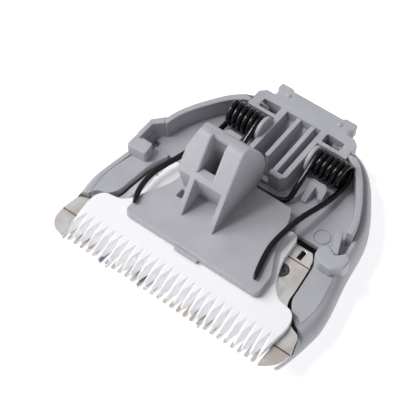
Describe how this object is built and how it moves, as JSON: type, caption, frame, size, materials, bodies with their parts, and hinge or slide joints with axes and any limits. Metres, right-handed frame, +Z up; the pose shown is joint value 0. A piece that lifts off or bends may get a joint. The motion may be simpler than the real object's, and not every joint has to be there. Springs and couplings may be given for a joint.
{
  "type": "pet clipper blade head",
  "caption": "Detachable blade head of a cordless pet clipper: steel comb blade, sliding ceramic cutter on a forked carrier, twin-coil spring, framed in a rounded cover with a rear tongue.",
  "frame": {"origin": "middle of the bounding box's underside, on the cover's flat outside face", "axes": "+Z up out of the inner side, where the drive fork stands; -Y towards the teeth; +Y towards the tongue; +X along the row of teeth"},
  "size_m": [0.0446, 0.0432, 0.021],
  "materials": {
    "cover_plastic": "smooth grey moulded plastic",
    "frame_plastic": "satin grey moulded plastic",
    "carrier_plastic": "satin grey moulded plastic",
    "blade_steel": "ground and polished steel",
    "screw_steel": "darkened steel",
    "cutter_ceramic": "fine ground white zirconia",
    "spring_wire": "glossy black coated wire"
  },
  "bodies": {
    "head": {"outer_cover": "cover_plastic", "inner_frame": "frame_plastic", "comb_blade": "blade_steel", "blade_screw_left": "screw_steel", "blade_screw_right": "screw_steel", "torsion_spring": "spring_wire"},
    "cutter": {"ceramic_cutter": "cutter_ceramic", "cutter_carrier": "carrier_plastic"}
  },
  "joints": [
    {"name": "cutter_slide", "type": "slide", "parent": "head", "child": "cutter", "axis": [1, 0, 0], "range_m": [-0.00125, 0.00125]}
  ]
}
